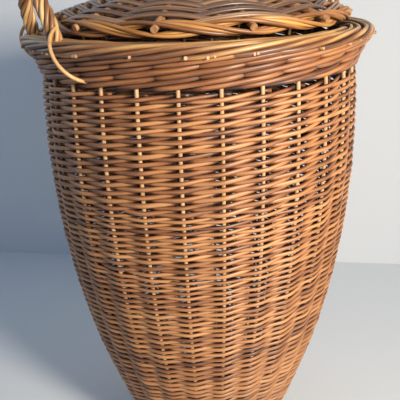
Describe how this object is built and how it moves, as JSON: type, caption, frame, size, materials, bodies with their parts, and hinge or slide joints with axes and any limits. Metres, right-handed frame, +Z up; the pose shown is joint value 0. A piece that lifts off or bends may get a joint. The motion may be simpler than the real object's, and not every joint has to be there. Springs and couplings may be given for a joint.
{
  "type": "laundry hamper",
  "caption": "Tall round willow laundry hamper that tapers to its foot, with a rolled border, twisted rope handles and a loose domed lid that lifts off.",
  "frame": {"origin": "centre of the foot ring on the floor", "axes": "+Z up along the hamper's axis, -Y towards the front, +X to the right seen from the front"},
  "size_m": [0.4652, 0.4602, 0.7121],
  "materials": {
    "stake_willow": "satin",
    "weave_willow": "satin",
    "border_willow": "satin",
    "handle_willow": "satin",
    "lid_willow": "satin",
    "lid_edge_willow": "satin"
  },
  "bodies": {
    "basket": {"base_stick_01": "stake_willow", "base_stick_02": "stake_willow", "base_stick_03": "stake_willow", "base_stick_04": "stake_willow", "base_stick_05": "stake_willow", "base_stick_06": "stake_willow", "base_stick_07": "stake_willow", "base_weave": "weave_willow", "upsett_waling": "weave_willow", "stake_01": "stake_willow", "stake_02": "stake_willow", "stake_03": "stake_willow", "stake_04": "stake_willow", "stake_05": "stake_willow", "stake_06": "stake_willow", "stake_07": "stake_willow", "stake_08": "stake_willow", "stake_09": "stake_willow", "stake_10": "stake_willow", "stake_11": "stake_willow", "stake_12": "stake_willow", "stake_13": "stake_willow", "stake_14": "stake_willow", "stake_15": "stake_willow", "stake_16": "stake_willow", "stake_17": "stake_willow", "stake_18": "stake_willow", "stake_19": "stake_willow", "stake_20": "stake_willow", "stake_21": "stake_willow", "stake_22": "stake_willow", "stake_23": "stake_willow", "stake_24": "stake_willow", "stake_25": "stake_willow", "stake_26": "stake_willow", "stake_27": "stake_willow", "stake_28": "stake_willow", "weave_band_1": "weave_willow", "weave_band_2": "weave_willow", "weave_band_3": "weave_willow", "weave_band_4": "weave_willow", "weave_band_5": "weave_willow", "top_waling": "weave_willow", "border": "border_willow", "handle_left_bow": "handle_willow", "handle_left_rope": "handle_willow", "handle_left_ties": "handle_willow", "handle_right_bow": "handle_willow", "handle_right_rope": "handle_willow", "handle_right_ties": "handle_willow"},
    "lid": {"lid_stick_01": "stake_willow", "lid_stick_02": "stake_willow", "lid_stick_03": "stake_willow", "lid_stick_04": "stake_willow", "lid_stick_05": "stake_willow", "lid_stick_06": "stake_willow", "lid_weave": "lid_willow", "lid_edge": "lid_edge_willow"}
  },
  "joints": [
    {"name": "lid_lift", "type": "slide", "parent": "basket", "child": "lid", "axis": [0, 0, 1], "range_m": [0, 0.25]}
  ]
}
